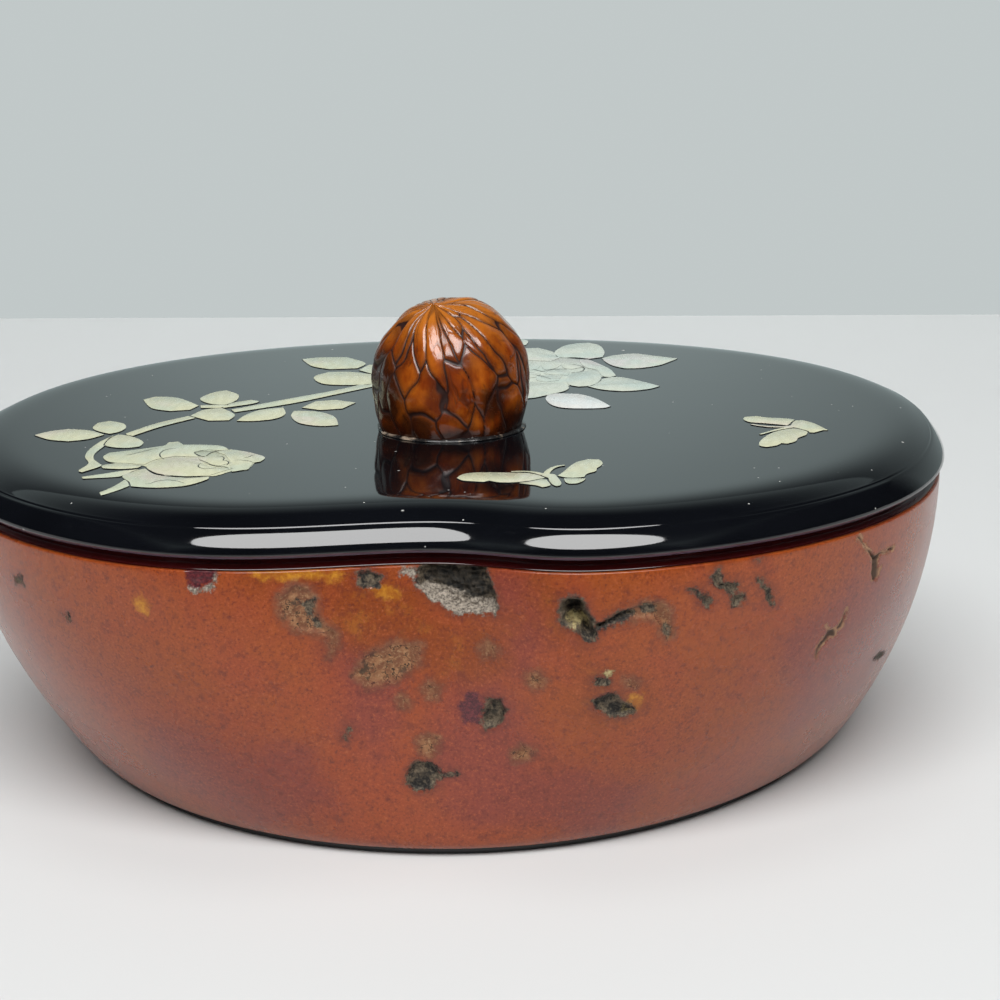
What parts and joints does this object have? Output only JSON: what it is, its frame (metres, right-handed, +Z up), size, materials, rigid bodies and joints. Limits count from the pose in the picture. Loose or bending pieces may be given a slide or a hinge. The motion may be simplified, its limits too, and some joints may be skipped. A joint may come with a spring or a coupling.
{
  "type": "lidded gourd box",
  "caption": "Low wide box made from a lacquered gourd, with a red mouth rim, a thin black foot and a flat black lid with shell inlay that lifts off by a walnut knob.",
  "frame": {"origin": "on the table, under the middle of the lid's width and depth", "axes": "+X to the right and +Z up as the box stands, -Y towards the front with the dimple, +Y towards the back"},
  "size_m": [0.218, 0.1991, 0.1004],
  "materials": {
    "gourd_lacquer": "dried gourd under clear red-brown lacquer, mottled, with natural scars",
    "black_lacquer": "black lacquer polished to a mirror",
    "red_lacquer": "dark red lacquer, gloss",
    "walnut_shell": "walnut under clear gloss lacquer",
    "peg_wood": "bare wood",
    "lacquer_bead": "hardened lacquer putty, satin",
    "shell": "mother-of-pearl plate, polished, faintly iridescent"
  },
  "bodies": {
    "bowl": {"gourd_bowl": "gourd_lacquer", "mouth_rim": "red_lacquer", "foot_board": "black_lacquer"},
    "lid": {"lid_board": "black_lacquer", "lid_flange": "black_lacquer", "walnut_knob": "walnut_shell", "knob_peg": "peg_wood", "knob_bead": "lacquer_bead", "bloom_heart": "shell", "bloom_inner_petal_1": "shell", "bloom_inner_petal_2": "shell", "bloom_inner_petal_3": "shell", "bloom_inner_petal_4": "shell", "bloom_inner_petal_5": "shell", "bloom_leaf_1": "shell", "bloom_leaf_2": "shell", "bloom_leaf_3": "shell", "bloom_outer_petal_1": "shell", "bloom_outer_petal_2": "shell", "bloom_outer_petal_3": "shell", "bloom_outer_petal_4": "shell", "bloom_outer_petal_5": "shell", "bloom_outer_petal_6": "shell", "bloom_outer_petal_7": "shell", "bud_petal_1": "shell", "bud_petal_2": "shell", "bud_petal_3": "shell", "bud_petal_4": "shell", "bud_petal_5": "shell", "bud_sepal_1": "shell", "bud_sepal_2": "shell", "bud_sepal_3": "shell", "bud_stem": "shell", "far_butterfly_body": "shell", "far_butterfly_wing_left": "shell", "far_butterfly_wing_right": "shell", "near_butterfly_body": "shell", "near_butterfly_hind_wing_left": "shell", "near_butterfly_hind_wing_right": "shell", "near_butterfly_wing_left": "shell", "near_butterfly_wing_right": "shell", "spray_leaf_1": "shell", "spray_leaf_10": "shell", "spray_leaf_11": "shell", "spray_leaf_12": "shell", "spray_leaf_2": "shell", "spray_leaf_3": "shell", "spray_leaf_4": "shell", "spray_leaf_5": "shell", "spray_leaf_6": "shell", "spray_leaf_7": "shell", "spray_leaf_8": "shell", "spray_leaf_9": "shell", "spray_stem_long": "shell", "spray_stem_low": "shell", "spray_twig_back": "shell"}
  },
  "joints": [
    {"name": "lid_lift", "type": "slide", "parent": "bowl", "child": "lid", "axis": [0, 0, 1], "range_m": [0, 0.12]}
  ]
}
